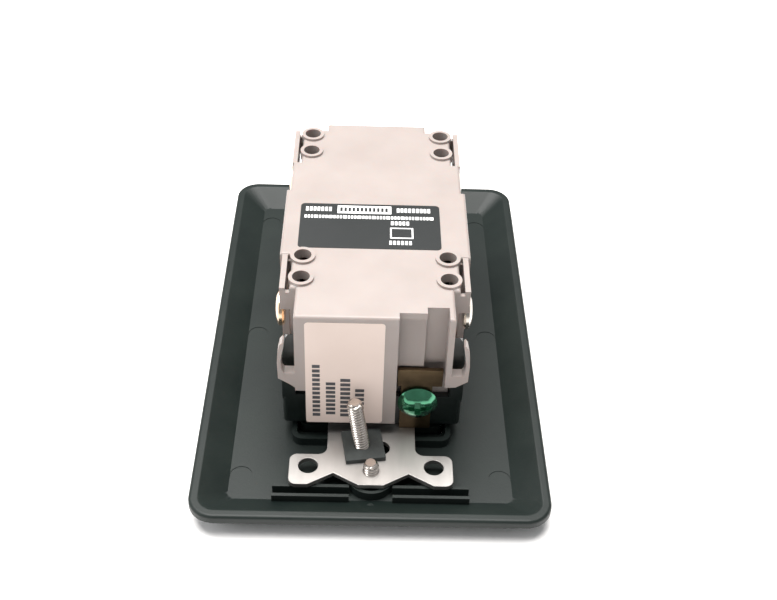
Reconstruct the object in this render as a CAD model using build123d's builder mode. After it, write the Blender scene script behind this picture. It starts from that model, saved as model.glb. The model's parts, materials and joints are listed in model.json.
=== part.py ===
from build123d import *
import os

# Ground-fault (GFCI) receptacle of the decorator style, screwed into a mid-size wall plate and
# lying face down.  X runs across the device, Y along it (the line and ground end is -Y) and Z
# rises from the face to the back.  The origin is at the middle of the face, where it rests.
# Every size is in millimetres.

# ---- running and fitting clearances ----
fit_gap = 0.25
slide_gap = 0.3
spin_gap = 0.06

# ---- wall plate ----
plate_width = 79.4
plate_length = 123.8
plate_corner = 6.0
plate_slope = 6.0
plate_front_z = 0.6
plate_edge_z = 4.4
plate_rim_z = 6.5
plate_wall = 2.4
plate_rim = 2.0
opening_gap = 0.3
plate_screw_y = 48.42
plate_screw_r = 1.75
plate_screw_head_r = 3.4
plate_lip_x = 18.4
plate_lip_y = 37.9
plate_lip_wall = 1.2
plate_rib_x = 21.8
plate_rib_wall = 0.8
plate_boss_r = 5.4
mark_r = 2.5
mark_depth = 0.15

# ---- mounting strap ----
strap_front_z = 5.64
strap_thickness = 1.2
strap_back_z = strap_front_z + strap_thickness
strap_core_x = 13.0
strap_rail = 4.0
strap_neck_x = 10.0
strap_end_y = 52.6
ear_inner_y = 43.8
ear_half_width = 18.3
ear_hole_x = 14.05
ear_hole_y = 47.25
ear_hole_r = 2.2
ear_corner = 1.8
notch_x = 8.4
notch_depth = 3.4
notch_half = 5.6
mount_slot_y = 41.67
mount_slot_half_x = 4.2
mount_slot_r = 2.1

# ---- front cover ----
face_width = 33.3
face_length = 66.8
face_wall = 2.4
face_corner = 1.5
cover_half_x = 20.4
cover_half_y = 34.1
cover_top_z = 16.0
cover_wall = 1.6
outlet_spacing = 38.9
blade_offset_y = 3.9
blade_x = 6.35
ground_drop = 11.9
hot_slot = 6.9
neutral_slot = 8.5
slot_width = 2.1
ground_hole_r = 2.75
light_x = 11.0
light_y = -1.0
light_r = 1.0

# ---- rear housing ----
back_z = 42.4
back_wall = 1.8
shell_wall = 1.5
skirt_z = cover_top_z + fit_gap
end_wall_z = 10.4
end_wall_x = (-14.8, 5.2)
end_wall_t = 1.7
near_y = -37.4
far_y = 38.0
near_half_x = 17.2
row_half_x = 18.6
step_half_x = 20.5
wide_half_x = 21.4
far_tab_x = 12.5
near_row_y = (-27.8, -16.2)
wide_y = (-16.2, 8.7)
step_y = (8.7, 20.5)
far_row_y = (20.5, 35.2)
side_strip_x = (19.6, 20.8)
side_strip_z = 36.0
top_edge_r = 0.7

# ---- snaps: hooks on the rear housing hold latch posts on the front cover ----
hook_y = (near_y, near_y + 2.4)
hook_base_z = {-1: 20.5, 1: 22.3}
hook_outer = ((18.3, 22.4), (20.9, 24.2), (21.0, 28.8), (20.8, 31.7), (20.3, 34.1), (19.7, 34.9))
hook_inner = ((19.4, 34.5), (20.2, 29.3), (20.0, 26.5), (19.5, 25.8))
latch_y = (-33.6, -28.1)
latch_outline = ((17.5, 34.2), (18.4, 34.2), (19.4, 32.8), (20.3, 26.0), (20.4, 14.0), (17.5, 14.0))
latch_back_z = 28.8
ledge_z = 20.2
far_latch_x = (13.2, 17.6)
far_nose_z = (26.4, 28.0)

# ---- back-wire holes: two rows at each end ----
wire_x = 16.2
wire_r = 1.95
wire_rim_r = 2.8
wire_rim_h = 0.6
wire_pitch = 7.54
line_y = -20.99
load_y = 28.57

# ---- terminals ----
terminal_z = 30.7
terminal_plate_x = 18.0
terminal_plate_t = 0.9
terminal_half_y = 4.6
terminal_half_z = 4.4
head_r = 4.25
head_x = 20.2
head_t = 2.1
shank_r = 2.05
shank_end_x = 10.6
clamp_x = 13.9
clamp_t = 1.2
clamp_half = 3.9

# ---- ground terminal ----
ground_x = 10.2
ground_z = 15.8
ground_head_r = 4.5
ground_head_y = -38.0
ground_plate_y = -35.3
ground_plate_t = 1.1
ground_leg_x = (6.3, 13.4)
ground_shoulder_z = 20.4
pocket_x = (5.2, 15.9)
pocket_top_z = 25.6
pocket_depth = 5.0
panel_x = 11.2
panel_step = (1.9, 3.8)
panel_lean = 1.0

# ---- buttons ----
button_width = 14.0
button_height = 6.6
test_button_y = 3.4
reset_button_y = -4.8
button_recess = 0.2
button_flange = 1.0

# ---- inner parts ----
carrier_z = 17.0
carrier_t = 1.6
board_z = 22.0
board_t = 1.6
board_half_x = 12.0
board_y = (-30.0, 31.0)
ring_outer_r = 8.0
ring_inner_r = 4.5
ring_height = 5.0
ring_y = -12.0
coil_y = 13.0
coil_z = 30.2
coil_r = 5.2
coil_length = 13.0
plunger_r = 1.8

# ---- mounting screws ----
mount_screw_r = 1.75
mount_screw_reach = 16.2
mount_head_r = 3.3
mount_head_t = 1.45
mount_head_gap = 0.55
near_screw_x = -1.8
near_screw_lean = 8.0
retainer_half = 4.5
retainer_t = 1.2
retainer_turn = 8.5

# ---- labels ----
label_t = 0.1
back_label_x = (-17.6, 14.9)
back_label_y = (-13.9, 2.9)
end_label_x = (-14.9, 2.3)
end_label_z = (10.6, 40.9)

os.makedirs("parts", exist_ok=True)

near_line = -1
far_load = 1
hot_side = -1
neutral_side = 1


def block(x0, x1, y0, y1, z0, z1, mode=Mode.ADD):
    """A box between two corners, added to or cut from the piece being built."""
    with Locations(((x0 + x1) / 2, (y0 + y1) / 2, (z0 + z1) / 2)):
        Box(abs(x1 - x0), abs(y1 - y0), abs(z1 - z0), mode=mode)


def rod_x(x0, x1, y, z, radius, mode=Mode.ADD):
    """A cylinder along X."""
    with Locations(((x0 + x1) / 2, y, z)):
        Cylinder(radius, abs(x1 - x0), rotation=(0, 90, 0), mode=mode)


def rod_y(x, y0, y1, z, radius, mode=Mode.ADD):
    """A cylinder along Y."""
    with Locations((x, (y0 + y1) / 2, z)):
        Cylinder(radius, abs(y1 - y0), rotation=(90, 0, 0), mode=mode)


def rod_z(x, y, z0, z1, radius, mode=Mode.ADD):
    """A cylinder along Z."""
    with Locations((x, y, (z0 + z1) / 2)):
        Cylinder(radius, abs(z1 - z0), mode=mode)


def plate_xz(points, y0, y1, mode=Mode.ADD):
    """A flat plate with an outline of (x, z) points, from y0 to y1."""
    with BuildSketch(Plane.XZ.offset(-y0)) as outline:
        with BuildLine():
            Polyline(*points, close=True)
        make_face()
    extrude(outline.sketch, amount=y0 - y1, mode=mode)


def plate_yz(points, x0, x1, mode=Mode.ADD):
    """A flat plate with an outline of (y, z) points, from x0 to x1."""
    with BuildSketch(Plane.YZ.offset(x0)) as outline:
        with BuildLine():
            Polyline(*points, close=True)
        make_face()
    extrude(outline.sketch, amount=x1 - x0, mode=mode)


def save(piece, label):
    """Name a finished piece and write its STEP file."""
    piece.part.label = label
    export_step(piece.part, f"parts/{label}.step")


# ---- wall plate: a shallow dish with a rounded flaring rim ----
floor_z = plate_front_z + plate_wall
lip_z = strap_front_z - fit_gap
opening_width = face_width + 2 * opening_gap
opening_length = face_length + 2 * opening_gap
with BuildPart() as wall_plate:
    with BuildSketch(Plane.XY.offset(plate_front_z)):
        RectangleRounded(plate_width - 2 * plate_slope, plate_length - 2 * plate_slope, plate_corner / 2)
    with BuildSketch(Plane.XY.offset(plate_edge_z)):
        RectangleRounded(plate_width, plate_length, plate_corner)
    loft()
    with BuildSketch(Plane.XY.offset(plate_edge_z)):
        RectangleRounded(plate_width, plate_length, plate_corner)
    extrude(amount=plate_rim_z - plate_edge_z)
    with BuildSketch(Plane.XY.offset(floor_z)):
        RectangleRounded(
            plate_width - 2 * (plate_slope + plate_rim),
            plate_length - 2 * (plate_slope + plate_rim),
            plate_corner / 3,
        )
    with BuildSketch(Plane.XY.offset(plate_rim_z)):
        RectangleRounded(plate_width - 2 * plate_rim, plate_length - 2 * plate_rim,
                         plate_corner - plate_rim)
    loft(mode=Mode.SUBTRACT)
    fillet(wall_plate.edges().group_by(Axis.Z)[-1], plate_rim * 0.4)
    with BuildSketch(Plane.XY.offset(floor_z)):
        RectangleRounded(2 * plate_lip_x, 2 * plate_lip_y, 2.5)
        RectangleRounded(
            2 * (plate_lip_x - plate_lip_wall), 2 * (plate_lip_y - plate_lip_wall), 1.5, mode=Mode.SUBTRACT
        )
    extrude(amount=lip_z - floor_z)
    for end in (near_line, far_load):
        boss_y = end * plate_screw_y
        rod_z(0, boss_y, floor_z, lip_z, plate_boss_r)
        rod_z(0, boss_y, floor_z, lip_z, plate_boss_r - plate_rib_wall, mode=Mode.SUBTRACT)
        rod_z(0, boss_y, floor_z, lip_z, plate_screw_r + 1.2)
        block(-plate_boss_r - 1, plate_boss_r + 1, boss_y - end * 2.9, boss_y - end * 8, floor_z, lip_z,
              mode=Mode.SUBTRACT)
        for rib_y in (boss_y + end * 3.3, boss_y + end * 6.0):
            for side in (-1, 1):
                block(
                    side * (plate_boss_r - 0.6),
                    side * plate_rib_x,
                    rib_y - plate_rib_wall / 2,
                    rib_y + plate_rib_wall / 2,
                    floor_z,
                    lip_z,
                )
        rod_z(0, boss_y + end * 8.0, floor_z, lip_z - 1, 0.8)
    with BuildSketch(Plane.XY.offset(plate_front_z)):
        RectangleRounded(opening_width, opening_length, face_corner)
    extrude(amount=plate_wall, mode=Mode.SUBTRACT)
    with Locations((0, -plate_screw_y, plate_front_z), (0, plate_screw_y, plate_front_z)):
        Cylinder(plate_screw_r + fit_gap, 20, mode=Mode.SUBTRACT)
        Cone(
            plate_screw_head_r + fit_gap, plate_screw_r + fit_gap, plate_screw_head_r - plate_screw_r,
            align=(Align.CENTER, Align.CENTER, Align.MIN), mode=Mode.SUBTRACT,
        )
    with Locations((0, 0, floor_z)):
        with GridLocations(2 * (plate_width / 2 - 10.5), plate_length * 0.38, 2, 3):
            Cylinder(mark_r, 2 * mark_depth, mode=Mode.SUBTRACT)
save(wall_plate, "wall_plate")

# ---- plate screws: slotted oval heads in the plate's countersinks, tips through the strap ----
plate_tip_z = strap_back_z + 2.6
with BuildPart() as plate_screws:
    for end in (near_line, far_load):
        screw_y = end * plate_screw_y
        rod_z(0, screw_y, plate_front_z, plate_tip_z, plate_screw_r - 0.02)
        with Locations((0, screw_y, plate_front_z)):
            Cone(
                plate_screw_head_r, plate_screw_r - 0.02, plate_screw_head_r - plate_screw_r,
                align=(Align.CENTER, Align.CENTER, Align.MIN),
            )
        block(-plate_screw_head_r, plate_screw_head_r, screw_y - 0.45, screw_y + 0.45,
              plate_front_z, plate_front_z + 0.7, mode=Mode.SUBTRACT)
    chamfer(plate_screws.edges().group_by(Axis.Z)[-1], 0.4)
save(plate_screws, "plate_screws")

# ---- mounting strap: flat steel with four-lobed ears, slots and a window behind each outlet ----
with BuildPart() as strap:
    with BuildSketch(Plane.XY.offset(strap_front_z)):
        Rectangle(2 * strap_core_x, 2 * (cover_half_y - 3.5))
        Rectangle(2 * strap_neck_x, 2 * strap_end_y)
        for end in (near_line, far_load):
            with Locations((0, end * (ear_inner_y + strap_end_y) / 2)):
                RectangleRounded(2 * ear_half_width, strap_end_y - ear_inner_y, ear_corner)
    extrude(amount=strap_thickness)
    corners = strap.edges().filter_by(Axis.Z).filter_by(
        lambda e: abs(abs(e.center().X) - strap_neck_x) < 0.01 and abs(abs(e.center().Y) - ear_inner_y) < 0.01
    )
    fillet(corners, 2.0)
    with BuildSketch(Plane.XY.offset(strap_front_z)):
        for end in (near_line, far_load):
            for side in (-1, 1):
                with BuildLine():
                    Polyline(
                        (side * (notch_x - notch_half), end * strap_end_y),
                        (side * notch_x, end * (strap_end_y - notch_depth)),
                        (side * (notch_x + notch_half), end * strap_end_y),
                        (side * notch_x, end * (strap_end_y + 1)),
                        close=True,
                    )
                make_face()
    extrude(amount=strap_thickness, mode=Mode.SUBTRACT)
    with Locations((0, 0, strap_front_z)):
        with GridLocations(2 * ear_hole_x, 2 * ear_hole_y, 2, 2):
            Cylinder(ear_hole_r, 4, mode=Mode.SUBTRACT)
        with GridLocations(1, 2 * plate_screw_y, 1, 2):
            Cylinder(plate_screw_r + 0.02, 4, mode=Mode.SUBTRACT)
    with BuildSketch(Plane.XY.offset(strap_front_z)):
        with GridLocations(1, 2 * mount_slot_y, 1, 2):
            SlotOverall(2 * mount_slot_half_x, 2 * mount_slot_r)
        RectangleRounded(2 * (strap_core_x - strap_rail), 2 * (cover_half_y - 7.5), 1.5)
        with Locations((light_x, light_y)):
            Circle(light_r + slide_gap)
    extrude(amount=strap_thickness, mode=Mode.SUBTRACT)
save(strap, "strap")

# ---- front cover: the outlet face, walls that pass the strap, a skirt behind it and four latches ----
cavity_x = strap_core_x + fit_gap
face_cavity_y = face_length / 2 - 1.9
skirt_inner_x = cover_half_x - cover_wall
skirt_inner_y = cover_half_y - cover_wall
outlets = (outlet_spacing / 2, -outlet_spacing / 2)
with BuildPart() as front_cover:
    with BuildSketch():
        RectangleRounded(face_width, face_length, face_corner)
    extrude(amount=strap_front_z - fit_gap)
    fillet(front_cover.faces().sort_by(Axis.Z)[0].edges(), 0.5)
    block(-face_width / 2, face_width / 2, -face_cavity_y, face_cavity_y, face_wall, strap_back_z + fit_gap)
    with BuildSketch(Plane.XY.offset(strap_back_z + fit_gap)):
        RectangleRounded(2 * cover_half_x, 2 * cover_half_y, 1.2)
    extrude(amount=cover_top_z - strap_back_z - fit_gap)
    block(-cavity_x, cavity_x, -face_cavity_y, face_cavity_y, face_wall, strap_back_z + cover_wall,
          mode=Mode.SUBTRACT)
    block(-skirt_inner_x, skirt_inner_x, -skirt_inner_y, skirt_inner_y, strap_back_z + cover_wall,
          cover_top_z,
          mode=Mode.SUBTRACT)
    for side in (-1, 1):
        plate_xz([(side * x, z) for x, z in latch_outline], latch_y[0], latch_y[1])
        block(side * (near_half_x + fit_gap), side * cover_half_x, -cover_half_y, -skirt_inner_y,
              cover_top_z - 1, ledge_z)
        plate_yz([(latch_y[0] - 0.4, latch_outline[0][1]), (latch_y[1] + 0.1, latch_back_z),
                  (latch_y[1] + 0.1, latch_outline[0][1] + 1), (latch_y[0] - 0.4, latch_outline[0][1] + 1)],
                 side * near_half_x, side * cover_half_x, mode=Mode.SUBTRACT)
        block(side * far_latch_x[0], side * far_latch_x[1], far_row_y[1] + fit_gap, far_y - 0.1,
              cover_top_z - 8,
              far_nose_z[1])
        block(side * far_latch_x[0], side * far_latch_x[1], cover_half_y - 0.2, far_y - 0.1,
              cover_top_z - 8,
              cover_top_z)
        block(side * far_latch_x[0], side * far_latch_x[1], far_row_y[1] - 0.6, far_y - 0.1, *far_nose_z)
    rod_y(ground_x, -cover_half_y - 1, -skirt_inner_y + 1, ground_z, shank_r + fit_gap, mode=Mode.SUBTRACT)
    block(-strap_neck_x - fit_gap, strap_neck_x + fit_gap, cover_half_y - cover_wall - 1, cover_half_y + 1,
          strap_front_z - fit_gap, strap_back_z + 0.6, mode=Mode.SUBTRACT)
    for outlet_y in outlets:
        slot_y = outlet_y + blade_offset_y
        block(hot_side * blade_x - slot_width / 2, hot_side * blade_x + slot_width / 2,
              slot_y - hot_slot / 2, slot_y + hot_slot / 2, -1, face_wall + 1, mode=Mode.SUBTRACT)
        block(neutral_side * blade_x - slot_width / 2, neutral_side * blade_x + slot_width / 2,
              slot_y - neutral_slot / 2, slot_y + neutral_slot / 2, -1, face_wall + 1, mode=Mode.SUBTRACT)
        ground_y = slot_y - ground_drop
        rod_z(0, ground_y, -1, face_wall + 1, ground_hole_r, mode=Mode.SUBTRACT)
    for button_y in (test_button_y, reset_button_y):
        block(-button_width / 2 - slide_gap, button_width / 2 + slide_gap,
              button_y - button_height / 2 - slide_gap, button_y + button_height / 2 + slide_gap,
              -1, face_wall + 1, mode=Mode.SUBTRACT)
    rod_z(light_x, light_y, -1, face_wall + 1, light_r + 0.02, mode=Mode.SUBTRACT)
save(front_cover, "front_cover")

# ---- rear housing: stepped deep shell with wire holes, terminal windows, ground pocket, hooks ----
inner_top_z = back_z - back_wall
outline = (
    (near_half_x, near_y, near_row_y[0]),
    (row_half_x, near_row_y[0], far_row_y[1]),
    (wide_half_x, wide_y[0], wide_y[1]),
    (step_half_x, step_y[0], step_y[1]),
    (far_tab_x, far_row_y[1], far_y),
)
row_ys = [y + k * wire_pitch / 2 for y in (line_y, load_y) for k in (-1, 1)]
with BuildPart() as rear_housing:
    for half, y0, y1 in outline:
        block(-half, half, y0, y1, skirt_z, back_z)
    block(*end_wall_x, near_y, near_y + end_wall_t, end_wall_z, skirt_z)
    fillet(rear_housing.faces().sort_by(Axis.Z)[-1].edges(), top_edge_r)
    for half, y0, y1 in outline[:-1]:
        cut_y0 = y0 + shell_wall if y0 in (near_y, wide_y[0]) else y0
        cut_y1 = y1 - shell_wall if y1 in (far_row_y[1], wide_y[1], step_y[1]) else y1
        block(-half + shell_wall, half - shell_wall, cut_y0, cut_y1 + (0.01 if cut_y1 == y1 else 0),
              skirt_z - 1, inner_top_z, mode=Mode.SUBTRACT)
    block(-far_tab_x + shell_wall, far_tab_x - shell_wall, far_row_y[1] - shell_wall - 0.1,
          far_y - shell_wall,
          skirt_z - 1, inner_top_z, mode=Mode.SUBTRACT)
    # outer strips that shield the terminal screws from behind
    for side in (-1, 1):
        for y0, y1 in ((near_row_y[0], near_row_y[1] + 0.3), (far_row_y[0] - 0.3, far_row_y[1] - 0.4)):
            block(side * side_strip_x[0], side * side_strip_x[1], y0, y1, side_strip_z, back_z - 0.3)
        for bridge_y in (near_row_y[0], near_row_y[1] - 0.6, far_row_y[0] - 0.2, far_row_y[1] - 1.4):
            block(side * (row_half_x - 0.4), side * side_strip_x[1], bridge_y, bridge_y + 1.0,
                  side_strip_z, back_z - 1.6)
        # the near block's corners stop short of the cover's skirt, and a hook curls out from each
        base_z = hook_base_z[side]
        block(side * abs(end_wall_x[0]), side * (near_half_x + 1), near_y - 1, near_row_y[0],
              skirt_z - 1, base_z,
              mode=Mode.SUBTRACT)
        hook = ((near_half_x - 1, base_z), *hook_outer, *hook_inner, (near_half_x - 1, hook_inner[-1][1]))
        plate_xz([(side * x, z) for x, z in hook], *hook_y)
        # windows for the terminal screws and, at the far end, for the cover's latch noses
        for terminal_y in (line_y, load_y):
            block(side * (row_half_x - shell_wall - 0.5), side * (row_half_x + 0.5),
                  terminal_y - terminal_half_y - 0.2, terminal_y + terminal_half_y + 0.2,
                  terminal_z - terminal_half_z - 0.2, terminal_z + terminal_half_z + 0.2, mode=Mode.SUBTRACT)
        block(side * (far_latch_x[0] - fit_gap), side * (far_latch_x[1] + fit_gap),
              far_row_y[1] - 0.6 - fit_gap,
              far_row_y[1] + 1, far_nose_z[0] - fit_gap, far_nose_z[1] + fit_gap, mode=Mode.SUBTRACT)
    # near face: two stepped recesses, deeper at the bottom, and the pocket of the ground terminal
    for (x0, x1), step in zip(((pocket_x[0], panel_x), (panel_x, pocket_x[1])), panel_step):
        plate_yz([(near_y - 1, end_wall_z), (near_y + step + panel_lean, end_wall_z), (near_y + step,
                                                                                       back_z + 1),
                  (near_y - 1, back_z + 1)], x0, x1, mode=Mode.SUBTRACT)
    block(*pocket_x, near_y + panel_step[0] + panel_lean + 0.4, near_y + panel_step[1] + panel_lean + 1.4,
          pocket_top_z, inner_top_z + 0.5)
    plate_yz([(near_y, pocket_top_z - 1), (near_y + panel_step[1] + panel_lean, pocket_top_z - 1),
              (near_y + panel_step[1], back_z + 1), (near_y, back_z + 1)], panel_x, pocket_x[1],
             mode=Mode.SUBTRACT)
    block(*pocket_x, near_y - 1, near_y + pocket_depth, end_wall_z - 1, pocket_top_z, mode=Mode.SUBTRACT)
    block(pocket_x[0] - shell_wall, pocket_x[1] + shell_wall - 0.2, near_y + pocket_depth,
          near_y + pocket_depth + shell_wall, skirt_z - 7, pocket_top_z + 0.8)
    block(pocket_x[0] - shell_wall, pocket_x[0], near_y + 1, near_y + pocket_depth + 0.1, skirt_z,
          pocket_top_z + 0.8)
    # raised rims and bores of the back-wire holes
    for side in (-1, 1):
        for row_y in row_ys:
            rod_z(side * wire_x, row_y, inner_top_z, back_z + wire_rim_h, wire_rim_r)
            rod_z(side * wire_x, row_y, inner_top_z - 1, back_z + 2, wire_r, mode=Mode.SUBTRACT)
save(rear_housing, "rear_housing")

# ---- middle housing: the plate that holds the outlet contacts and carries the circuit board ----
carrier_half_y = cover_half_y - cover_wall - slide_gap
with BuildPart() as middle_housing:
    block(-14.6, 14.6, -carrier_half_y + 1.6, carrier_half_y - 0.4, carrier_z, carrier_z + carrier_t)
    for end in (near_line, far_load):
        for side in (-1, 1):
            rod_z(side * 9.6, end * 27.5, carrier_z + carrier_t - 0.1, board_z, 1.4)
    for button_y in (test_button_y, reset_button_y):
        rod_z(0, button_y, carrier_z - 1, carrier_z + carrier_t + 1, 1.6, mode=Mode.SUBTRACT)
save(middle_housing, "middle_housing")

# ---- buttons, with the plunger stems behind them ----
button_stem_z = 10.5
for name, button_y in (("test_button", test_button_y), ("reset_button", reset_button_y)):
    with BuildPart() as button:
        block(-button_width / 2, button_width / 2, button_y - button_height / 2,
              button_y + button_height / 2,
              button_recess, face_wall + 0.4)
        fillet(button.faces().sort_by(Axis.Z)[0].edges(), 0.4)
        block(-button_width / 2 - button_flange, button_width / 2 + button_flange,
              button_y - button_height / 2, button_y + button_height / 2, face_wall + 0.1, face_wall + 1.2)
        rod_z(0, button_y, face_wall + 1.1, button_stem_z, 1.3)
    save(button, name)

# ---- button springs: simple coils round the stems ----
for name, button_y in (("test_spring", test_button_y), ("reset_spring", reset_button_y)):
    with BuildPart() as spring:
        rod_z(0, button_y, face_wall + 1.25, carrier_z - 0.05, 2.2)
        rod_z(0, button_y, face_wall, carrier_z, 1.7, mode=Mode.SUBTRACT)
    save(spring, name)

# ---- reset pin: the steel latch pin that hangs from the reset button ----
with BuildPart() as reset_pin:
    rod_z(0, reset_button_y, button_stem_z, 20.2, 1.0)
    rod_z(0, reset_button_y, 19.2, 20.2, 1.45)
save(reset_pin, "reset_pin")

# ---- status light and its clear pipe ----
pipe_end_z = strap_back_z + 0.6
led_body_z = pipe_end_z + 2.8
with BuildPart() as light_pipe:
    rod_z(light_x, light_y, 0.05, pipe_end_z, light_r)
save(light_pipe, "light_pipe")
with BuildPart() as indicator_led:
    rod_z(light_x, light_y, pipe_end_z + 0.1, led_body_z, 1.5)
    block(light_x - 1.4, light_x + 1.5, light_y - 1.6, light_y + 1.6, led_body_z, carrier_z)
save(indicator_led, "indicator_led")

# ---- outlet contacts: a hot and a neutral bar, each with a folded blade clip at both outlets ----
clip_z = (8.6, 15.6)
for name, side in (("hot_contact_bar", hot_side), ("neutral_contact_bar", neutral_side)):
    bar_x = side * blade_x
    with BuildPart() as bar:
        block(bar_x - 2.4, bar_x + 2.4, -27.0, 29.0, clip_z[1], clip_z[1] + 0.9)
        for outlet_y in outlets:
            slot_y = outlet_y + blade_offset_y
            for leaf in (-1, 1):
                block(bar_x + leaf * 1.2, bar_x + leaf * 1.8, slot_y - 3.2, slot_y + 3.2, clip_z[0],
                      clip_z[1] + 0.1)
    save(bar, name)

# ---- ground contacts: two clips for the ground pins, riveted to the strap's window edge ----
with BuildPart() as ground_contacts:
    for outlet_y in outlets:
        ground_y = outlet_y + blade_offset_y - ground_drop
        rod_z(0, ground_y, 8.6, 14.8, 3.2)
        rod_z(0, ground_y, 8.0, 14.8, 2.6, mode=Mode.SUBTRACT)
        block(-3.2, 3.2, ground_y - 0.7, ground_y + 0.7, 8.0, 13.6, mode=Mode.SUBTRACT)
save(ground_contacts, "ground_contacts")

# ---- circuit board and what is soldered to it ----
board_top = board_z + board_t
with BuildPart() as circuit_board:
    block(-board_half_x, board_half_x, board_y[0], board_y[1], board_z, board_top)
    rod_z(0, reset_button_y, board_z - 1, board_top + 1, 2.0, mode=Mode.SUBTRACT)
save(circuit_board, "circuit_board")

for name, base in (("sense_transformer", board_top + 1.0), ("neutral_transformer",
                                                            board_top + 1.6 + ring_height)):
    with BuildPart() as ring:
        rod_z(0, ring_y, base, base + ring_height, ring_outer_r)
        rod_z(0, ring_y, base - 1, base + ring_height + 1, ring_inner_r, mode=Mode.SUBTRACT)
        fillet(ring.edges().filter_by(GeomType.CIRCLE), 0.8)
    save(ring, name)

ring_top = board_top + 1.6 + 2 * ring_height
with BuildPart() as transformer_case:
    rod_z(0, ring_y, board_top + 0.02, ring_top + 1.2, ring_outer_r + 1.2)
    rod_z(0, ring_y, board_top - 1, ring_top + 0.3, ring_outer_r + 0.2, mode=Mode.SUBTRACT)
    rod_z(0, ring_y, ring_top, ring_top + 2, ring_inner_r, mode=Mode.SUBTRACT)
save(transformer_case, "transformer_case")

# ---- solenoid that trips the latch ----
coil_y0 = coil_y - coil_length / 2
coil_y1 = coil_y + coil_length / 2
with BuildPart() as solenoid_bobbin:
    rod_y(0, coil_y0, coil_y1, coil_z, plunger_r + 1.0)
    for end_y in (coil_y0, coil_y1 - 1.0):
        block(-coil_r - 0.6, coil_r + 0.6, end_y, end_y + 1.0, board_top + 0.02, coil_z + coil_r + 0.5)
    rod_y(0, coil_y0 - 1, coil_y1 + 1, coil_z, plunger_r + spin_gap, mode=Mode.SUBTRACT)
save(solenoid_bobbin, "solenoid_bobbin")
with BuildPart() as solenoid_coil:
    rod_y(0, coil_y0 + 1.05, coil_y1 - 1.05, coil_z, coil_r)
    rod_y(0, coil_y0, coil_y1, coil_z, plunger_r + 1.05, mode=Mode.SUBTRACT)
save(solenoid_coil, "solenoid_coil")
with BuildPart() as solenoid_plunger:
    rod_y(0, coil_y0 - 3.6, coil_y1 - 4.0, coil_z, plunger_r)
    rod_y(0, coil_y0 - 3.6, coil_y0 - 2.6, coil_z, plunger_r + 0.9)
save(solenoid_plunger, "solenoid_plunger")
with BuildPart() as plunger_spring:
    rod_y(0, coil_y0 - 2.55, coil_y0 - 0.05, coil_z, plunger_r + 0.8)
    rod_y(0, coil_y0 - 3, coil_y0 + 1, coil_z, plunger_r + 0.3, mode=Mode.SUBTRACT)
save(plunger_spring, "plunger_spring")
with BuildPart() as latch_plate:
    block(-2.0, 2.0, coil_y0 - 4.5, coil_y0 - 3.6, coil_z - 3.6, coil_z + 2.4)
save(latch_plate, "latch_plate")

# ---- contact carriage that the reset pin lifts, with one spring arm for each pole ----
carriage_z = carrier_z + carrier_t + 0.2
with BuildPart() as contact_carriage:
    block(-6.0, 6.0, reset_button_y - 3.5, reset_button_y + 3.5, carriage_z, carriage_z + 1.6)
    rod_z(0, reset_button_y, carriage_z - 1, carriage_z + 3, 1.75, mode=Mode.SUBTRACT)
save(contact_carriage, "contact_carriage")
for name, side in (("hot_contact_arm", hot_side), ("neutral_contact_arm", neutral_side)):
    with BuildPart() as arm:
        block(side * 6.0, side * 11.0, reset_button_y - 1.6, reset_button_y + 1.6, carriage_z + 0.5,
              carriage_z + 0.9)
        rod_z(side * 9.6, reset_button_y, carriage_z + 0.8, carriage_z + 1.5, 1.3)
    save(arm, name)

# ---- other board parts ----
with BuildPart() as varistor:
    rod_x(7.4, 10.4, 24.4, board_top + 5.4, 5.0)
    for pin_y in (22.0, 26.8):
        rod_z(8.9, pin_y, board_top + 0.02, board_top + 2.0, 0.35)
save(varistor, "varistor")
with BuildPart() as capacitors:
    for cap_y in (23.0, 28.2):
        rod_z(-7.4, cap_y, board_top + 0.02, board_top + 7.5, 2.4)
save(capacitors, "capacitors")
with BuildPart() as control_chip:
    block(-3.0, 3.0, 24.0, 28.0, board_top + 0.3, board_top + 1.9)
    with Locations((0, 26.0, board_top + 0.3)):
        with GridLocations(6.8, 1.1, 2, 4):
            Box(1.0, 0.4, 0.56)
save(control_chip, "control_chip")

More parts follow.
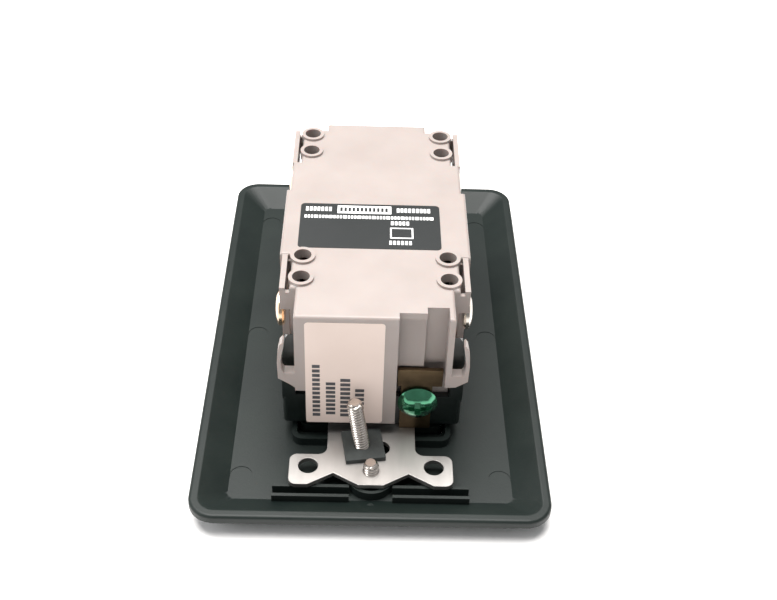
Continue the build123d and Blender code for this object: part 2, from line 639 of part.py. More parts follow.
# ---- terminals, clamp plates and screws: line at the near end, load at the far end ----
for pole, side in (("hot", hot_side), ("neutral", neutral_side)):
    for end, terminal_y in (("line", line_y), ("load", load_y)):
        outer_x = side * (terminal_plate_x + terminal_plate_t)
        inner_x = side * terminal_plate_x
        with BuildPart() as terminal:
            block(inner_x, outer_x, terminal_y - terminal_half_y, terminal_y + terminal_half_y,
                  terminal_z - terminal_half_z, terminal_z + terminal_half_z)
            block(side * (board_half_x + 0.6), outer_x, terminal_y - 2.2, terminal_y + 2.2,
                  terminal_z - terminal_half_z, terminal_z - terminal_half_z + 0.9)
            block(side * (board_half_x + 0.6), side * (board_half_x + 1.4), terminal_y - 2.2,
                  terminal_y + 2.2,
                  board_z - 1.5, terminal_z - terminal_half_z + 0.9)
            rod_x(inner_x - side, outer_x + side, terminal_y, terminal_z, shank_r + spin_gap,
                  mode=Mode.SUBTRACT)
        save(terminal, f"{end}_{pole}_terminal")

        with BuildPart() as clamp:
            block(side * clamp_x, side * (clamp_x + clamp_t), terminal_y - clamp_half,
                  terminal_y + clamp_half,
                  terminal_z - terminal_half_z + 1.3, terminal_z + clamp_half)
            rod_x(side * (clamp_x - 1), side * (clamp_x + clamp_t + 1), terminal_y, terminal_z,
                  shank_r + spin_gap, mode=Mode.SUBTRACT)
        save(clamp, f"{end}_{pole}_clamp")

        with BuildPart() as screw:
            rod_x(side * shank_end_x, side * head_x, terminal_y, terminal_z, shank_r)
            rod_x(side * head_x, side * (head_x + head_t), terminal_y, terminal_z, head_r)
            block(side * (head_x + head_t - 0.9), side * (head_x + head_t + 1), terminal_y - head_r,
                  terminal_y + head_r, terminal_z - 0.55, terminal_z + 0.55, mode=Mode.SUBTRACT)
        save(screw, f"{end}_{pole}_screw")

# ---- ground terminal: a bent tab that stands on the strap, and its green screw ----
with BuildPart() as ground_terminal:
    block(pocket_x[0] + 0.3, pocket_x[1] - 0.3, ground_plate_y, ground_plate_y + ground_plate_t,
          ground_shoulder_z, pocket_top_z - 0.3)
    block(*ground_leg_x, ground_plate_y, ground_plate_y + ground_plate_t, strap_back_z + 0.02,
          ground_shoulder_z)
    rod_y(ground_x, ground_plate_y - 1, ground_plate_y + 3, ground_z, shank_r + spin_gap,
          mode=Mode.SUBTRACT)
save(ground_terminal, "ground_terminal")
with BuildPart() as ground_screw:
    rod_y(ground_x, ground_head_y, ground_plate_y - 0.1, ground_z, ground_head_r)
    rod_y(ground_x, ground_head_y + 1, near_y + pocket_depth - 0.2, ground_z, shank_r)
    fillet(ground_screw.faces().sort_by(Axis.Y)[0].edges(), 0.7)
    block(ground_x - 5, ground_x + 5, ground_head_y - 1, ground_head_y + 1.0, ground_z - 0.6,
          ground_z + 0.6,
          mode=Mode.SUBTRACT)
save(ground_screw, "ground_screw")

# ---- mounting screws, held captive in the strap's slots by square retainers ----
# The near screw has slid to one side of its slot and leans with its retainer turned a little.
mount_places = (
    ("near_mounting_screw", near_line, near_screw_x, near_screw_lean, retainer_turn),
    ("far_mounting_screw", far_load, 0.0, 0.0, 0.0),
)
screw_planes = []
for name, end, offset_x, lean, turn in mount_places:
    lean_dir = Vector(0, 0, 1).rotate(Axis.Y, -lean)
    screw_plane = Plane(origin=(offset_x, end * mount_slot_y, strap_front_z), x_dir=(1, 0, 0),
                        z_dir=lean_dir)
    screw_planes.append((screw_plane, turn))
    with BuildPart(screw_plane) as screw:
        rod_z(0, 0, -mount_head_gap - mount_head_t, mount_screw_reach, mount_screw_r)
        chamfer(screw.edges().sort_by(Axis.Z)[-1], 0.5)
        rod_z(0, 0, -mount_head_gap - mount_head_t, -mount_head_gap, mount_head_r)
        block(-0.5, 0.5, -4, 4, -mount_head_gap - mount_head_t - 1, -mount_head_gap - mount_head_t + 0.7,
              mode=Mode.SUBTRACT)
    save(screw, name)

with BuildPart() as screw_retainers:
    for screw_plane, turn in screw_planes:
        retainer_plane = Plane(origin=(screw_plane.origin.X, screw_plane.origin.Y, strap_back_z + 0.02))
        with BuildSketch(retainer_plane):
            Rectangle(2 * retainer_half, 2 * retainer_half, rotation=turn)
        extrude(amount=retainer_t)
    for screw_plane, turn in screw_planes:
        with Locations(screw_plane):
            Cylinder(mount_screw_r + spin_gap, 12, mode=Mode.SUBTRACT)
save(screw_retainers, "screw_retainers")

# ---- labels ----
with BuildPart() as back_label:
    with BuildSketch(Plane.XY.offset(back_z)):
        with Locations((sum(back_label_x) / 2, sum(back_label_y) / 2)):
            RectangleRounded(back_label_x[1] - back_label_x[0], back_label_y[1] - back_label_y[0], 1.0)
    extrude(amount=label_t)
save(back_label, "back_label")
with BuildPart() as end_label:
    block(end_label_x[0], end_label_x[1], near_y - label_t, near_y, end_label_z[0], end_label_z[1])
    fillet(end_label.edges().filter_by(Axis.Y), 0.8)
save(end_label, "end_label")
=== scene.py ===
import json
import math

import bmesh
import bpy
from mathutils import Matrix, Vector


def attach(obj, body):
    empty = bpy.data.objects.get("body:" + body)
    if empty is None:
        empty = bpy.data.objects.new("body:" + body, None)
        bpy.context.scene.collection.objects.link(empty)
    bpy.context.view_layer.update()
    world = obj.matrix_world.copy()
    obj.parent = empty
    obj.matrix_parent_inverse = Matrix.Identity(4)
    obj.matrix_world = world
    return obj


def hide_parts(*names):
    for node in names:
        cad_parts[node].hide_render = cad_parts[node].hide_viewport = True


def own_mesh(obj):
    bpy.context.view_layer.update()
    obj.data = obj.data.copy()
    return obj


# The looks of a GFCI receptacle lying face down in its wall plate.  Lengths are in metres.
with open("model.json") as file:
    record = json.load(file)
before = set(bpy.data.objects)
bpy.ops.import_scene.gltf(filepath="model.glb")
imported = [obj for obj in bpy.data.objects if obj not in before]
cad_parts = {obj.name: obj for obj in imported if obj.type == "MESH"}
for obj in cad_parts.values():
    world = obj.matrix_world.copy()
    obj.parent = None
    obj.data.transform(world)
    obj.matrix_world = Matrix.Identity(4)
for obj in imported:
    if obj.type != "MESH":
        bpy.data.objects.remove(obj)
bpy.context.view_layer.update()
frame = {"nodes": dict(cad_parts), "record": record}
MM = 0.001
THREAD_PITCH = 0.794 * MM  # 32 threads to the inch, on every screw here

# Where the screws, springs, coil and labels are, in millimetres.
STRAP_FRONT_Z = 5.64
BOX_SCREW_Y = 41.67
PLATE_SCREW_Y = 48.42
TERMINAL_HEAD_X = 20.2
TERMINAL_Y = {"line": -20.99, "load": 28.57}
TERMINAL_Z = 30.7
GROUND_SCREW_AT = (10.2, -35.4, 15.8)
SOLENOID_Z = 30.2
BACK_LABEL_Z = 42.5
BOX_PRINT_Z = 42.515
END_LABEL_Y = -37.5


# ---------------------------------------------------------------- camera, floor and light
def look_direction(yaw_deg, pitch_deg, roll_deg):
    """Right, up and forward vectors of a camera that looks along +Y, turned and tipped down."""
    yaw, pitch, roll = (math.radians(a) for a in (yaw_deg, pitch_deg, roll_deg))
    forward = Vector((math.sin(yaw) * math.cos(pitch), math.cos(yaw) * math.cos(pitch), -math.sin(pitch)))
    right = Vector((math.cos(yaw), -math.sin(yaw), 0))
    up = right.cross(forward)
    rolled_right = right * math.cos(roll) + up * math.sin(roll)
    rolled_up = up * math.cos(roll) - right * math.sin(roll)
    return rolled_right, rolled_up, forward


def make_camera():
    data = bpy.data.cameras.new("camera")
    data.lens = 52.98
    data.sensor_width = 36
    data.clip_start = 0.01
    data.clip_end = 10
    camera = bpy.data.objects.new("camera", data)
    right, up, forward = look_direction(1.69, 40.8, 2.35)
    turn = Matrix((right, up, -forward)).transposed().to_4x4()
    camera.matrix_world = Matrix.Translation((-0.0026, -0.2163, 0.2021)) @ turn
    bpy.context.collection.objects.link(camera)
    bpy.context.scene.camera = camera


def area_light(name, place, aim, size, power, colour=(1, 1, 1)):
    data = bpy.data.lights.new(name, "AREA")
    data.shape = "RECTANGLE"
    data.size, data.size_y = size
    data.energy = power
    data.color = colour
    lamp = bpy.data.objects.new(name, data)
    lamp.location = place
    lamp.rotation_mode = "QUATERNION"
    lamp.rotation_quaternion = (Vector(place) - Vector(aim)).to_track_quat("Z", "Y")
    bpy.context.collection.objects.link(lamp)


def make_stage():
    bpy.ops.mesh.primitive_plane_add(size=6, location=(0, 0, 0))
    floor = bpy.context.object
    floor.name = "floor"
    material = bpy.data.materials.new("floor_paper")
    material.use_nodes = True
    shader = material.node_tree.nodes["Principled BSDF"]
    shader.inputs["Base Color"].default_value = (0.93, 0.92, 0.91, 1)
    shader.inputs["Roughness"].default_value = 0.55
    shader.inputs["Specular IOR Level"].default_value = 0.2
    floor.data.materials.append(material)
    world = bpy.data.worlds.new("studio")
    world.use_nodes = True
    background = world.node_tree.nodes["Background"]
    background.inputs["Color"].default_value = (0.97, 0.985, 1.0, 1)
    background.inputs["Strength"].default_value = 0.40
    bpy.context.scene.world = world
    bpy.context.scene.view_settings.view_transform = "Standard"
    area_light("top_box", (-0.06, 0.09, 0.7), (0, 0, 0.02), (0.6, 0.6), 13.4, (1, 0.985, 0.97))
    area_light("left_box", (-0.55, -0.2, 0.35), (0, 0, 0.02), (0.3, 0.4), 1.3, (0.97, 0.98, 1))


# ---------------------------------------------------------------- materials
def ramp(nodes, low, high, start=0.3, end=0.7):
    node = nodes.new("ShaderNodeValToRGB")
    node.color_ramp.elements[0].position = start
    node.color_ramp.elements[1].position = end
    node.color_ramp.elements[0].color = (*low, 1)
    node.color_ramp.elements[1].color = (*high, 1)
    return node


def noise(nodes, links, coordinates, scale, detail=4, stretch=None):
    """A noise texture in object coordinates, stretched along an axis for brushed metal."""
    node = nodes.new("ShaderNodeTexNoise")
    node.inputs["Scale"].default_value = scale
    node.inputs["Detail"].default_value = detail
    source = coordinates.outputs["Object"]
    if stretch:
        mapping = nodes.new("ShaderNodeMapping")
        mapping.inputs["Scale"].default_value = stretch
        links.new(source, mapping.inputs["Vector"])
        source = mapping.outputs["Vector"]
    links.new(source, node.inputs["Vector"])
    return node


def surface(name, low, high, rough, metal=0.0, tone_scale=60, grain_scale=2500, bump=0.05, coat=0.0,
            stretch=None, specular=0.5, subsurface=0.0, crest_colour=None, crest_colour_at=(0.52, 0.62)):
    """A procedural finish: a mottled colour, roughness that follows it, and a fine grain in relief."""
    material = bpy.data.materials.new(name)
    material.use_nodes = True
    nodes, links = material.node_tree.nodes, material.node_tree.links
    shader = nodes["Principled BSDF"]
    coordinates = nodes.new("ShaderNodeTexCoord")
    tone = noise(nodes, links, coordinates, tone_scale, 5, stretch)
    colours = ramp(nodes, low, high)
    links.new(tone.outputs["Fac"], colours.inputs["Fac"])
    base = colours.outputs["Color"]
    # With a crest colour given, convex points (by pointiness) take it, and the hollows keep the mottled
    # colour, which stands as painted shade there.
    if crest_colour:
        geometry = nodes.new("ShaderNodeNewGeometry")
        sharp = ramp(nodes, (0, 0, 0), (1, 1, 1), *crest_colour_at)
        links.new(geometry.outputs["Pointiness"], sharp.inputs["Fac"])
        painted_groove_shade = nodes.new("ShaderNodeMix")
        painted_groove_shade.data_type = "RGBA"
        links.new(sharp.outputs["Color"], painted_groove_shade.inputs["Factor"])
        links.new(base, painted_groove_shade.inputs["A"])
        painted_groove_shade.inputs["B"].default_value = (*crest_colour, 1)
        base = painted_groove_shade.outputs["Result"]
    links.new(base, shader.inputs["Base Color"])
    spread = nodes.new("ShaderNodeMapRange")
    spread.inputs["To Min"].default_value = rough[0]
    spread.inputs["To Max"].default_value = rough[1]
    links.new(tone.outputs["Fac"], spread.inputs["Value"])
    links.new(spread.outputs["Result"], shader.inputs["Roughness"])
    grain = noise(nodes, links, coordinates, grain_scale, 3, stretch)
    relief = nodes.new("ShaderNodeBump")
    relief.inputs["Strength"].default_value = bump
    relief.inputs["Distance"].default_value = 0.0002
    links.new(grain.outputs["Fac"], relief.inputs["Height"])
    links.new(relief.outputs["Normal"], shader.inputs["Normal"])
    shader.inputs["Metallic"].default_value = metal
    shader.inputs["Coat Weight"].default_value = coat
    shader.inputs["Coat Roughness"].default_value = 0.12
    shader.inputs["Specular IOR Level"].default_value = specular
    shader.inputs["Subsurface Weight"].default_value = subsurface
    shader.inputs["Subsurface Scale"].default_value = 0.002
    return material


black = surface("black_plastic", (0.004, 0.008, 0.007), (0.007, 0.012, 0.010), (0.42, 0.54), tone_scale=90,
                grain_scale=1800, bump=0.12, specular=0.32)
face_black = surface("face_black", (0.004, 0.007, 0.006), (0.007, 0.011, 0.010), (0.25, 0.35), tone_scale=120,
                     grain_scale=2600, bump=0.06, coat=0.2)
grey = surface("grey_plastic", (0.295, 0.252, 0.233), (0.318, 0.274, 0.255), (0.38, 0.5), tone_scale=110,
               grain_scale=3200, bump=0.06, subsurface=0.08)
ivory = surface("carrier_plastic", (0.70, 0.66, 0.56), (0.78, 0.74, 0.64), (0.4, 0.5), bump=0.05)
zinc = surface("strap_steel", (0.36, 0.345, 0.33), (0.50, 0.48, 0.46), (0.38, 0.52), 1.0, 140, 900, 0.10,
               stretch=(1, 0.22, 1))
bright = surface("bright_steel", (0.40, 0.36, 0.32), (0.66, 0.61, 0.56), (0.14, 0.28), 1.0, 220, 1500, 0.04)
spring_steel = surface("spring_steel", (0.36, 0.36, 0.36), (0.55, 0.55, 0.55), (0.25, 0.4), 1.0, 200,
                       1500, 0.05)
# Thread steel: the dark mottled colour is painted shade in the thread grooves; the light colour on the crests
# is the steel's own.
thread_steel = surface("thread_steel", (0.03, 0.025, 0.022), (0.06, 0.05, 0.045), (0.16, 0.28), 1.0, 220,
                       1500, 0.03, crest_colour=(0.66, 0.60, 0.55), crest_colour_at=(0.44, 0.50))
brass = surface("brass", (0.62, 0.44, 0.30), (0.86, 0.68, 0.50), (0.16, 0.30), 1.0, 160, 1200, 0.06)
# Ground terminal brass, darkened far below the brass's own colour: a painted shade for a tab that sits mostly
# in shadow.
shade_darkened_brass = surface("ground_brass", (0.07, 0.05, 0.03), (0.20, 0.14, 0.08), (0.30, 0.46), 1.0, 120,
                     900, 0.10)
green = surface("green_plate", (0.02, 0.13, 0.06), (0.07, 0.30, 0.17), (0.08, 0.18), 0.9, 180,
                1200, 0.04, coat=0.6)
fibre = surface("retainer_board", (0.016, 0.019, 0.018), (0.035, 0.04, 0.038), (0.6, 0.8), tone_scale=300,
                grain_scale=1600, bump=0.2)
solder_mask = surface("board_green", (0.01, 0.10, 0.03), (0.02, 0.17, 0.05), (0.2, 0.35), coat=0.3)
ferrite = surface("ferrite", (0.03, 0.03, 0.033), (0.06, 0.06, 0.065), (0.5, 0.7), bump=0.1)
copper = surface("copper", (0.50, 0.20, 0.08), (0.80, 0.38, 0.18), (0.2, 0.35), 1.0, 300, 3000, 0.15,
                 stretch=(0.1, 4, 0.1))
blue = surface("component_blue", (0.02, 0.06, 0.32), (0.04, 0.11, 0.45), (0.2, 0.35), coat=0.2)
dark = surface("component_black", (0.012, 0.012, 0.014), (0.03, 0.03, 0.034), (0.4, 0.6))
film = surface("label_black", (0.007, 0.009, 0.009), (0.010, 0.012, 0.012), (0.32, 0.42), tone_scale=40,
               grain_scale=1500, bump=0.03)
paper = surface("label_cream", (0.66, 0.54, 0.48), (0.71, 0.59, 0.53), (0.45, 0.6), tone_scale=70,
                grain_scale=2200, bump=0.05)
print_white = surface("print_white", (0.80, 0.80, 0.79), (0.88, 0.88, 0.87), (0.4, 0.5), bump=0.02)
print_dark = surface("print_dark", (0.03, 0.03, 0.035), (0.07, 0.07, 0.075), (0.4, 0.6), tone_scale=400,
                     bump=0.02)


def clear_material():
    material = surface("clear_pipe", (0.75, 0.85, 0.80), (0.85, 0.92, 0.88), (0.05, 0.12), bump=0.02)
    material.node_tree.nodes["Principled BSDF"].inputs["Transmission Weight"].default_value = 0.85
    return material


finishes = {
    "black_plastic": black, "grey_plastic": grey, "carrier_plastic": ivory, "strap_steel": zinc,
    "bright_steel": bright, "spring_steel": spring_steel, "brass": brass, "ground_brass": shade_darkened_brass,
    "green_plate": green, "retainer_board": fibre, "board_green": solder_mask, "ferrite": ferrite,
    "copper": copper, "component_blue": blue, "component_black": dark, "clear_pipe": clear_material(),
    "label_black": film, "label_cream": paper,
}
slots = {part["node"]: part["material_slot"] for part in frame["record"]["subparts"]}
body_of = {node: body for body, nodes in frame["record"]["behaviour"]["bodies"].items() for node in nodes}


def dress(obj, material):
    obj.data.materials.clear()
    obj.data.materials.append(material)


for node, obj in frame["nodes"].items():
    dress(obj, finishes[slots[node]])
for node in ("front_cover", "test_button", "reset_button"):
    dress(frame["nodes"][node], face_black)


# ---------------------------------------------------------------- building pieces
def add_object(name, mesh, material, node, smooth_angle=35):
    """Put a finished mesh in the scene, riding with the body that holds a CAD node."""
    obj = bpy.data.objects.new(name, mesh)
    bpy.context.collection.objects.link(obj)
    dress(obj, material)
    if smooth_angle:
        mesh.shade_smooth()
        mesh.set_sharp_from_angle(angle=math.radians(smooth_angle))
    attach(obj, body_of[node])
    return obj


def stand_for(obj, *nodes):
    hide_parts(*nodes)
    return obj


def applied(obj):
    """The object's mesh with its modifiers built in."""
    graph = bpy.context.evaluated_depsgraph_get()
    mesh = bpy.data.meshes.new_from_object(obj.evaluated_get(graph))
    obj.modifiers.clear()
    obj.data = mesh
    return mesh


def softened(node, width, material, angle=30, segments=2):
    """A copy of a CAD node whose sharp edges are rounded as moulding or tumbling leaves them."""
    mesh = frame["nodes"][node].data.copy()
    edit = bmesh.new()
    edit.from_mesh(mesh)
    bmesh.ops.remove_doubles(edit, verts=edit.verts, dist=2e-6)
    bmesh.ops.dissolve_limit(edit, angle_limit=math.radians(1.0), verts=edit.verts, edges=edit.edges)
    edit.to_mesh(mesh)
    edit.free()
    mesh.name = node + "_soft"
    obj = bpy.data.objects.new(node + "_soft", mesh)
    bpy.context.collection.objects.link(obj)
    bevel = obj.modifiers.new("round_edges", "BEVEL")
    bevel.width = width
    bevel.segments = segments
    bevel.limit_method = "ANGLE"
    bevel.angle_limit = math.radians(angle)
    bevel.use_clamp_overlap = True
    mesh.shade_smooth()
    mesh.set_sharp_from_angle(angle=math.radians(40))
    weighted = obj.modifiers.new("even_shading", "WEIGHTED_NORMAL")
    weighted.keep_sharp = True
    weighted.weight = 100
    applied(obj)
    dress(obj, material)
    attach(obj, body_of[node])
    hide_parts(node)
    return obj


def lathe_mesh(name, profile, frame_matrix, segments=64):
    """A surface of revolution about local Z.  The profile runs from (0, z) to (0, z)."""
    edit = bmesh.new()
    rings = []
    for radius, height in profile:
        if radius == 0:
            rings.append([edit.verts.new((0, 0, height))])
            continue
        rings.append([
            edit.verts.new((radius * math.cos(2 * math.pi * k / segments),
                            radius * math.sin(2 * math.pi * k / segments), height))
            for k in range(segments)
        ])
    for low, high in zip(rings, rings[1:]):
        for k in range(segments):
            j = (k + 1) % segments
            if len(low) == 1:
                edit.faces.new((low[0], high[j], high[k]))
            elif len(high) == 1:
                edit.faces.new((low[k], low[j], high[0]))
            else:
                edit.faces.new((low[k], low[j], high[j], high[k]))
    bmesh.ops.recalc_face_normals(edit, faces=edit.faces)
    edit.transform(frame_matrix)
    mesh = bpy.data.meshes.new(name)
    edit.to_mesh(mesh)
    edit.free()
    return mesh


def thread_mesh(name, outer, depth, start, end, pitch, frame_matrix, taper=0.9 * MM, segments=40, steps=8):
    """A threaded shank about local Z: the radius follows a helix, and both ends are closed."""
    edit = bmesh.new()
    rows = int((end - start) / pitch * steps)
    rings = []
    for row in range(rows + 1):
        height = start + (end - start) * row / rows
        ring = []
        for k in range(segments):
            turn = k / segments
            phase = (height / pitch - turn) % 1
            crest = 1 - abs(2 * phase - 1)
            groove = depth * (1 - min(1, crest * 1.35))
            lead = max(0, 1 - (end - height) / taper)
            radius = outer - groove - depth * 1.2 * lead
            angle = 2 * math.pi * turn
            ring.append(edit.verts.new((radius * math.cos(angle), radius * math.sin(angle), height)))
        rings.append(ring)
    for low, high in zip(rings, rings[1:]):
        for k in range(segments):
            j = (k + 1) % segments
            edit.faces.new((low[k], low[j], high[j], high[k]))
    edit.faces.new(list(reversed(rings[0])))
    edit.faces.new(rings[-1])
    bmesh.ops.recalc_face_normals(edit, faces=edit.faces)
    edit.transform(frame_matrix)
    mesh = bpy.data.meshes.new(name)
    edit.to_mesh(mesh)
    edit.free()
    return mesh


def joined(name, meshes):
    """Several closed meshes as one."""
    edit = bmesh.new()
    for mesh in meshes:
        edit.from_mesh(mesh)
    result = bpy.data.meshes.new(name)
    edit.to_mesh(result)
    edit.free()
    return result


def box_mesh(name, size, frame_matrix, bevel=0.0):
    edit = bmesh.new()
    bmesh.ops.create_cube(edit, size=1, matrix=Matrix.Diagonal((*size, 1)))
    if bevel:
        bmesh.ops.bevel(edit, geom=edit.edges[:], offset=bevel, segments=2, affect="EDGES")
    edit.transform(frame_matrix)
    mesh = bpy.data.meshes.new(name)
    edit.to_mesh(mesh)
    edit.free()
    return mesh


def carved(name, mesh, cutters):
    """A mesh with each cutter taken out of it."""
    work = bpy.data.objects.new(name, mesh)
    bpy.context.collection.objects.link(work)
    tools = []
    for cutter in cutters:
        tool = bpy.data.objects.new(name + "_tool", cutter)
        bpy.context.collection.objects.link(tool)
        cut = work.modifiers.new("cut", "BOOLEAN")
        cut.operation = "DIFFERENCE"
        cut.solver = "EXACT"
        cut.object = tool
        tools.append(tool)
    result = applied(work)
    for obj in [*tools, work]:
        bpy.data.objects.remove(obj)
    result.name = name
    return result


def place(origin, z_axis, x_axis=(1, 0, 0)):
    """A frame with local Z along an axis and local X near another."""
    z = Vector(z_axis).normalized()
    x = (Vector(x_axis) - z * z.dot(Vector(x_axis))).normalized()
    y = z.cross(x)
    turn = Matrix((x, y, z)).transposed().to_4x4()
    return Matrix.Translation(origin) @ turn


def screw_head(name, radius, height, at, slot_width, slot_depth, cross=0.0, dome=0.25, segments=72):
    """A pan head with a slot and, if cross is over 0, a cross recess.  Local Z points out of the head."""
    rim = radius * 0.10
    profile = [
        (0, 0), (radius - rim, 0), (radius, rim), (radius, height * (1 - dome) - rim * 0.4),
        (radius - rim, height * (1 - dome) + rim * 0.2), (radius * 0.72, height * (1 - dome * 0.35)),
        (radius * 0.4, height * (1 - dome * 0.08)), (0, height),
    ]
    head = lathe_mesh(name, profile, at, segments)
    cutters = [box_mesh("slot", (2.4 * radius, slot_width, 2 * slot_depth),
                        at @ Matrix.Translation((0, 0, height)))]
    if cross:
        span, width, depth = 2 * cross, slot_width * 1.2, 3 * slot_depth
        for size in ((span, width, depth), (width, span, depth)):
            cutters.append(box_mesh("cross", size, at @ Matrix.Translation((0, 0, height))))
    return carved(name, head, cutters)


# ---------------------------------------------------------------- housings, plate and strap
softened("rear_housing", 0.16 * MM, grey)
softened("front_cover", 0.14 * MM, face_black)
softened("wall_plate", 0.18 * MM, black)
softened("strap", 0.12 * MM, zinc)
softened("test_button", 0.12 * MM, face_black)
softened("reset_button", 0.12 * MM, face_black)
softened("screw_retainers", 0.06 * MM, fibre)
softened("ground_terminal", 0.12 * MM, shade_darkened_brass)


# ---------------------------------------------------------------- screws
def threaded_screw(name, node, at, shank, head):
    """A threaded shank and its head.  Local Z runs from the head to the tip."""
    start, end, radius = (v * MM for v in shank)
    thread = thread_mesh(name + "_thread", radius, 0.5 * THREAD_PITCH, start, end, THREAD_PITCH, at)
    return add_object(name, joined(name, [thread, head]), thread_steel, node, smooth_angle=28)


box_shank = (-0.9, 16.2, 1.75)
lean = math.radians(8)
for node, x, y, axis in (
    ("near_mounting_screw", -1.8, -BOX_SCREW_Y, (-math.sin(lean), 0, math.cos(lean))),
    ("far_mounting_screw", 0, BOX_SCREW_Y, (0, 0, 1)),
):
    at = place((x * MM, y * MM, STRAP_FRONT_Z * MM), axis)
    flipped = at @ Matrix.Translation((0, 0, -0.55 * MM)) @ Matrix.Rotation(math.pi, 4, "X")
    head = screw_head(node + "_head", 3.3 * MM, 1.45 * MM, flipped, 0.9 * MM, 0.7 * MM, dome=0.4)
    stand_for(threaded_screw(node + "_steel", node, at, box_shank, head), node)

oval_profile = [(0, 0.72), (1.6, 0.64), (3.3, 0.62), (3.38, 0.7), (1.72, 2.3), (0, 2.4)]
oval_slot = (8 * MM, 0.9 * MM, 1.5 * MM)
plate_parts = []
for y in (-PLATE_SCREW_Y, PLATE_SCREW_Y):
    at = place((0, y * MM, 0), (0, 0, 1))
    plate_parts.append(thread_mesh("plate_thread", 1.73 * MM, 0.38 * MM, 2.0 * MM, 9.44 * MM,
                                   THREAD_PITCH, at))
    oval = lathe_mesh("oval_head", [(radius * MM, height * MM) for radius, height in oval_profile], at)
    slot = box_mesh("slot", oval_slot, at @ Matrix.Translation((0, 0, 0.6 * MM)))
    plate_parts.append(carved("oval_head", oval, [slot]))
plate_steel = add_object("plate_screws_steel", joined("plate_screws_steel", plate_parts), thread_steel,
                         "plate_screws", smooth_angle=28)
stand_for(plate_steel, "plate_screws")

wire_screw_r, wire_screw_groove, wire_screw_start = 2.05 * MM, 0.3 * MM, -0.3 * MM
for end, y in TERMINAL_Y.items():
    for pole, side in (("hot", -1), ("neutral", 1)):
        node = f"{end}_{pole}_screw"
        spot = (side * TERMINAL_HEAD_X * MM, y * MM, TERMINAL_Z * MM)
        at = place(spot, (side, 0, 0), (0, 0.35, 1))
        head = screw_head(node + "_head", 4.25 * MM, 2.1 * MM, at, 1.0 * MM, 0.75 * MM, cross=1.9 * MM,
                          dome=0.35)
        thread = thread_mesh(node + "_thread", wire_screw_r, wire_screw_groove, wire_screw_start, 9.6 * MM,
                             THREAD_PITCH, place(spot, (-side, 0, 0)))
        screw = joined(node + "_metal", [head, thread])
        stand_for(add_object(node + "_metal", screw, finishes[slots[node]], node), node)

spot = tuple(v * MM for v in GROUND_SCREW_AT)
at = place(spot, (0, -1, 0), (1, 0, 0.02))
head = screw_head("ground_screw_head", 4.5 * MM, 2.6 * MM, at, 1.1 * MM, 0.8 * MM, cross=2.0 * MM,
                  dome=0.72)
thread = thread_mesh("ground_thread", wire_screw_r, wire_screw_groove, wire_screw_start, 2.8 * MM,
                     THREAD_PITCH, place(spot, (0, 1, 0)))
screw = joined("ground_screw_metal", [head, thread])
stand_for(add_object("ground_screw_metal", screw, green, "ground_screw"), "ground_screw")


# ---------------------------------------------------------------- springs and windings
def coil_mesh(name, radius, wire, turns, length, at, segments=22, sides=8):
    """A helix of round wire about local Z, from 0 to length, with closed ends."""
    edit = bmesh.new()
    rings = []
    count = int(turns * segments)
    for k in range(count + 1):
        share = k / count
        angle = 2 * math.pi * turns * share
        centre = Vector((radius * math.cos(angle), radius * math.sin(angle),
                         wire + (length - 2 * wire) * share))
        outward = Vector((math.cos(angle), math.sin(angle), 0))
        rings.append([
            edit.verts.new(centre + outward * wire * math.cos(2 * math.pi * j / sides)
                           + Vector((0, 0, wire * math.sin(2 * math.pi * j / sides))))
            for j in range(sides)
        ])
    for low, high in zip(rings, rings[1:]):
        for j in range(sides):
            edit.faces.new((low[j], low[(j + 1) % sides], high[(j + 1) % sides], high[j]))
    edit.faces.new(list(reversed(rings[0])))
    edit.faces.new(rings[-1])
    bmesh.ops.recalc_face_normals(edit, faces=edit.faces)
    edit.transform(at)
    mesh = bpy.data.meshes.new(name)
    edit.to_mesh(mesh)
    edit.free()
    return mesh


spring_wire = 0.24 * MM
button_spring_z, button_spring_end_z = 3.65 * MM, 16.95 * MM
for node, y, joint in (("test_spring", 3.4, "test_press"), ("reset_spring", -4.8, "reset_press")):
    mesh = coil_mesh(node + "_wire", 1.95 * MM, spring_wire, 9, 13.3 * MM,
                     place((0, y * MM, button_spring_z), (0, 0, 1)))
    wire = stand_for(add_object(node + "_wire", mesh, spring_steel, node, smooth_angle=60), node)
    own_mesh(wire)

plunger_spring_y, plunger_spring_end_y = 3.95 * MM, 6.45 * MM
mesh = coil_mesh("plunger_spring_wire", 2.35 * MM, spring_wire, 3, 2.5 * MM,
                 place((0, plunger_spring_y, SOLENOID_Z * MM), (0, 1, 0)))
wire = stand_for(add_object("plunger_spring_wire", mesh, spring_steel, "plunger_spring", smooth_angle=60),
                 "plunger_spring")
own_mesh(wire)

# The winding lies just under the surface of the CAD coil, which is what shows.
winding_at = place((0, 7.65 * MM, SOLENOID_Z * MM), (0, 1, 0))
mesh = coil_mesh("solenoid_winding", 5.02 * MM, 0.17 * MM, 31, 10.7 * MM, winding_at, segments=36, sides=6)
add_object("solenoid_winding", mesh, copper, "solenoid_coil", smooth_angle=60)


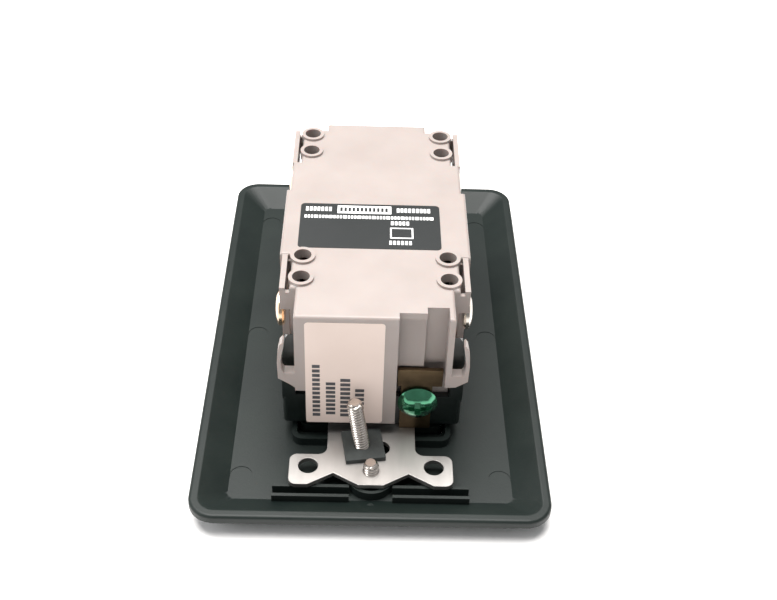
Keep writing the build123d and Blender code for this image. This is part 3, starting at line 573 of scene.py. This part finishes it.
# ---------------------------------------------------------------- printed labels: plain bars only
def printed(name, node, bars, level, axis, material):
    """Thin bars of ink on a label.  A bar is (u0, u1, v0, v1) in millimetres on the label's face."""
    meshes = []
    for u0, u1, v0, v1 in bars:
        centre, size = ((u0 + u1) / 2, (v0 + v1) / 2), (u1 - u0, v1 - v0)
        if axis == "z":
            spot, extent = (centre[0], centre[1], level), (size[0], size[1], 0.02)
        else:
            spot, extent = (centre[0], level, centre[1]), (size[0], 0.02, size[1])
        meshes.append(box_mesh(name, [v * MM for v in extent], Matrix.Translation([v * MM for v in spot])))
    return add_object(name, joined(name, meshes), material, node, smooth_angle=0)


def dashes(start, end, low, high, lengths, gap=0.28):
    """A row of short strokes that fills a strip, the way a line of print does from afar."""
    bars, at, k = [], start, 0
    while at + lengths[k % len(lengths)] <= end:
        bars.append((at, at + lengths[k % len(lengths)], low, high))
        at += lengths[k % len(lengths)] + gap
        k += 1
    return bars


letter = (0.62,)
small_letter = (0.6,)
top_bars = dashes(-16.4, -10.1, -0.05, 1.55, letter) + dashes(4.9, 13.5, -0.05, 1.55, letter)
top_bars += dashes(-16.6, 14.1, -2.8, -1.65, (0.5, 0.5, 0.5, 0.9), 0.24)
top_bars += dashes(3.5, 8.3, -5.0, -3.55, small_letter, 0.3)
top_bars += dashes(3.1, 8.9, -12.3, -10.9, small_letter, 0.3)
top_bars += [(3.3, 8.6, -6.35, -6.0), (3.3, 8.6, -10.0, -9.65)]
top_bars += [(3.3, 3.65, -9.65, -6.35), (8.25, 8.6, -9.65, -6.35)]
printed("back_print", "back_label", top_bars, BACK_LABEL_Z, "z", print_white)
printed("back_print_box", "back_label", [(-9.0, 3.6, -0.8, 2.2)], BACK_LABEL_Z, "z", print_white)
boxed_bars = dashes(-8.4, 3.2, -0.05, 1.5, letter, 0.34)
printed("back_print_in_box", "back_label", boxed_bars, BOX_PRINT_Z, "z", film)


def columns(left, right, low, high, lengths, gap=0.42):
    """The same strokes run upwards, for print that reads along Z."""
    return [(left, right, v0, v1) for v0, v1, _, _ in dashes(low, high, 0, 1, lengths, gap)]


stroke = (0.95,)
side_bars = columns(-13.4, -11.7, 12.6, 29.2, stroke) + columns(-10.4, -8.3, 13.2, 23.5, (0.9,))
side_bars += columns(-7.2, -5.0, 12.6, 25.6, stroke) + columns(-3.9, -1.9, 13.6, 21.8, stroke)
printed("end_print", "end_label", side_bars, END_LABEL_Y, "y", print_dark)


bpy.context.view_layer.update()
make_camera()
make_stage()
